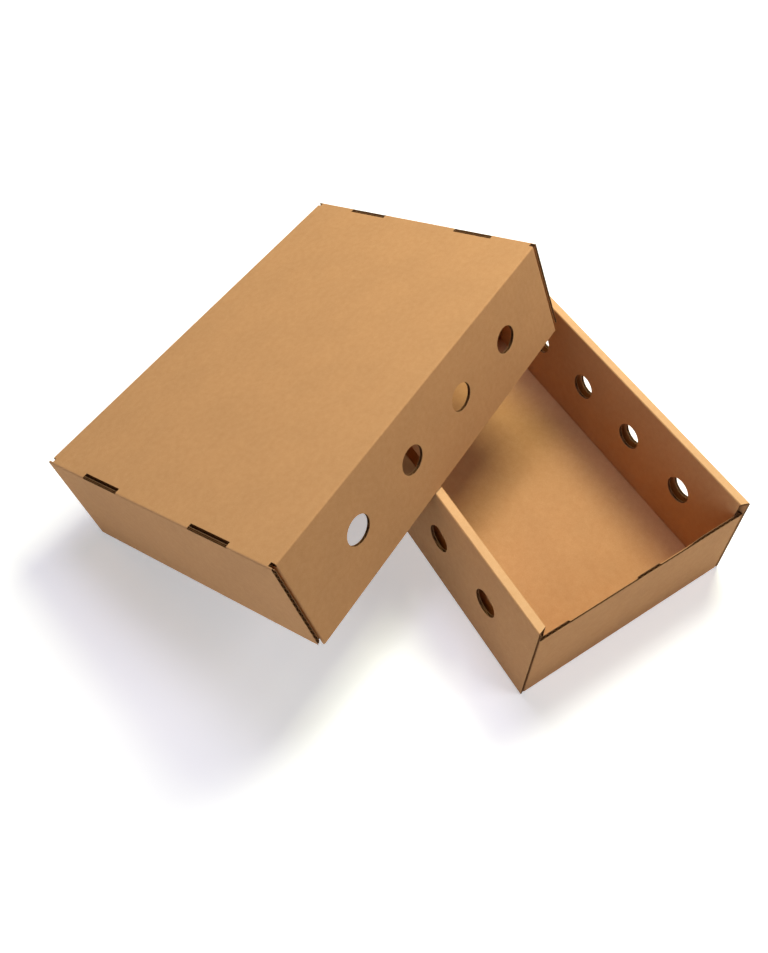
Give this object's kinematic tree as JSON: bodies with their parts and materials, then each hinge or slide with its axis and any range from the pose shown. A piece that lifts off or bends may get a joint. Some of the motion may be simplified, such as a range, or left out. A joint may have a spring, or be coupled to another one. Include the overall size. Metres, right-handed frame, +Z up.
{
  "type": "cardboard tray box",
  "caption": "Corrugated cardboard box in two pieces: an open tray with vented double walls, and its vented lid taken off and lying aslant over the tray.",
  "frame": {"origin": "middle of the tray's underside, on the ground", "axes": "+Z up; X across the tray; Y along the tray's long walls"},
  "size_m": [0.5285, 0.5305, 0.2433],
  "materials": {
    "tray_board": "brown kraft liner, matt",
    "lid_board": "brown kraft liner, matt"
  },
  "bodies": {
    "root": {"base_tray": "tray_board", "lid_tray": "lid_board"}
  },
  "joints": []
}
